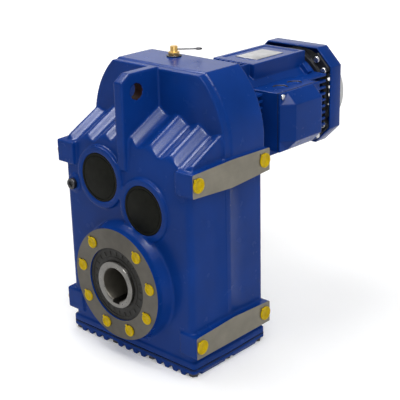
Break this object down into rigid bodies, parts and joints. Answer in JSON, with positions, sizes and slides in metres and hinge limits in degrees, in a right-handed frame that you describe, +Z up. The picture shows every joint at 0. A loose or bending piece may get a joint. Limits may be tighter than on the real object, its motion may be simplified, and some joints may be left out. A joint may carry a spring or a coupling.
{
  "type": "parallel-shaft gear motor",
  "caption": "Parallel-shaft helical gear motor with keyed hollow output shaft, drilled face flange, side mounting pads, torque-arm rib, finned motor and bevelled terminal box.",
  "frame": {"origin": "on the output shaft's axis, in the plane of the flange's machined face", "axes": "+Z up, -Y out of the flange towards the driven machine, +Y towards the motor, +X towards the terminal box"},
  "size_m": [0.2736, 0.47, 0.4334],
  "materials": {
    "cast_enamel": "gloss enamel on cast iron, machined bare on the flange and pad faces",
    "motor_enamel": "gloss enamel on die-cast aluminium",
    "sheet_enamel": "gloss enamel on pressed sheet",
    "black_cap": "matt black rubberised cap",
    "seal_rubber": "matt black rubber",
    "gasket": "dark sealing sheet",
    "yellow_plastic": "soft glossy plastic",
    "breather_brass": "turned brass",
    "dark_steel": "blackened steel",
    "zinc_steel": "zinc plated",
    "shaft_steel": "ground steel",
    "gear_steel": "ground case-hardened steel",
    "bearing_steel": "polished bearing steel",
    "core_steel": "stacked sheet steel",
    "winding": "varnished winding wire",
    "fan_plastic": "black moulded plastic",
    "shield_black": "black painted casting",
    "grille_grey": "pale grey moulded plastic",
    "plate_metal": "brushed bare plate",
    "moulded_cream": "moulded insulation"
  },
  "bodies": {
    "housing": {"gear_housing": "cast_enamel", "bottom_cover": "motor_enamel", "bottom_cover_gasket": "gasket", "bottom_cover_bolts": "dark_steel", "closing_cap_upper": "black_cap", "closing_cap_lower": "black_cap", "oil_level_plug": "dark_steel", "oil_drain_plug": "dark_steel", "breather_valve": "breather_brass", "breather_washer": "dark_steel", "flange_plugs": "yellow_plastic", "right_pad_plugs": "yellow_plastic", "left_pad_plugs": "yellow_plastic", "output_seal_front": "seal_rubber", "output_seal_rear": "seal_rubber", "output_bearing_outer_rings": "bearing_steel", "low_bearing_outer_rings": "bearing_steel", "high_bearing_outer_rings": "bearing_steel", "motor_flange": "motor_enamel", "motor_flange_bolts": "zinc_steel", "motor_shaft_seal": "seal_rubber", "motor_bearing_outer_rings": "bearing_steel", "motor_frame": "motor_enamel", "stator_core": "core_steel", "stator_windings": "winding", "rear_end_shield": "shield_black", "tie_bolts": "zinc_steel", "fan_cowl": "sheet_enamel", "fan_grille": "grille_grey", "fan_cowl_screws": "zinc_steel", "terminal_box": "motor_enamel", "terminal_box_gasket": "gasket", "terminal_box_lid": "motor_enamel", "terminal_box_screws": "zinc_steel", "terminal_block": "moulded_cream", "cable_entry_plugs": "motor_enamel", "nameplate": "plate_metal"},
    "output": {"hollow_shaft": "shaft_steel", "output_gear": "gear_steel", "output_gear_key": "shaft_steel", "output_spacers": "shaft_steel", "output_circlips": "dark_steel", "output_bearing_inner_rings": "bearing_steel"},
    "low_shaft": {"low_pinion_shaft": "gear_steel", "low_gear": "gear_steel", "low_gear_key": "shaft_steel", "low_bearing_inner_rings": "bearing_steel"},
    "high_shaft": {"high_pinion_shaft": "gear_steel", "high_gear": "gear_steel", "high_gear_key": "shaft_steel", "high_bearing_inner_rings": "bearing_steel"},
    "rotor": {"motor_shaft": "shaft_steel", "input_pinion": "gear_steel", "rotor_core": "core_steel", "cooling_fan": "fan_plastic", "motor_bearing_inner_rings": "bearing_steel"},
    "pin": {"breather_pin": "dark_steel"}
  },
  "joints": [
    {"name": "output_spin", "type": "hinge", "parent": "housing", "child": "output", "pos_m": [0, 0.1, 0], "axis": [0, 1, 0], "continuous": true},
    {"name": "low_spin", "type": "hinge", "parent": "housing", "child": "low_shaft", "pos_m": [0.04035, 0.1, 0.11586], "axis": [0, 1, 0], "continuous": true},
    {"name": "high_spin", "type": "hinge", "parent": "housing", "child": "high_shaft", "pos_m": [-0.04645, 0.1, 0.14638], "axis": [0, 1, 0], "continuous": true},
    {"name": "rotor_spin", "type": "hinge", "parent": "housing", "child": "rotor", "pos_m": [0, 0.1, 0.202], "axis": [0, 1, 0], "continuous": true},
    {"name": "breather_pin_pull", "type": "slide", "parent": "housing", "child": "pin", "axis": [0.7431, 0.6691, 0], "range_m": [0, 0.03]}
  ],
  "couplings": [
    {"joint": "low_spin", "follows": "output_spin", "ratio": -3.3889},
    {"joint": "high_spin", "follows": "output_spin", "ratio": 10.702},
    {"joint": "rotor_spin", "follows": "output_spin", "ratio": -30.067}
  ]
}
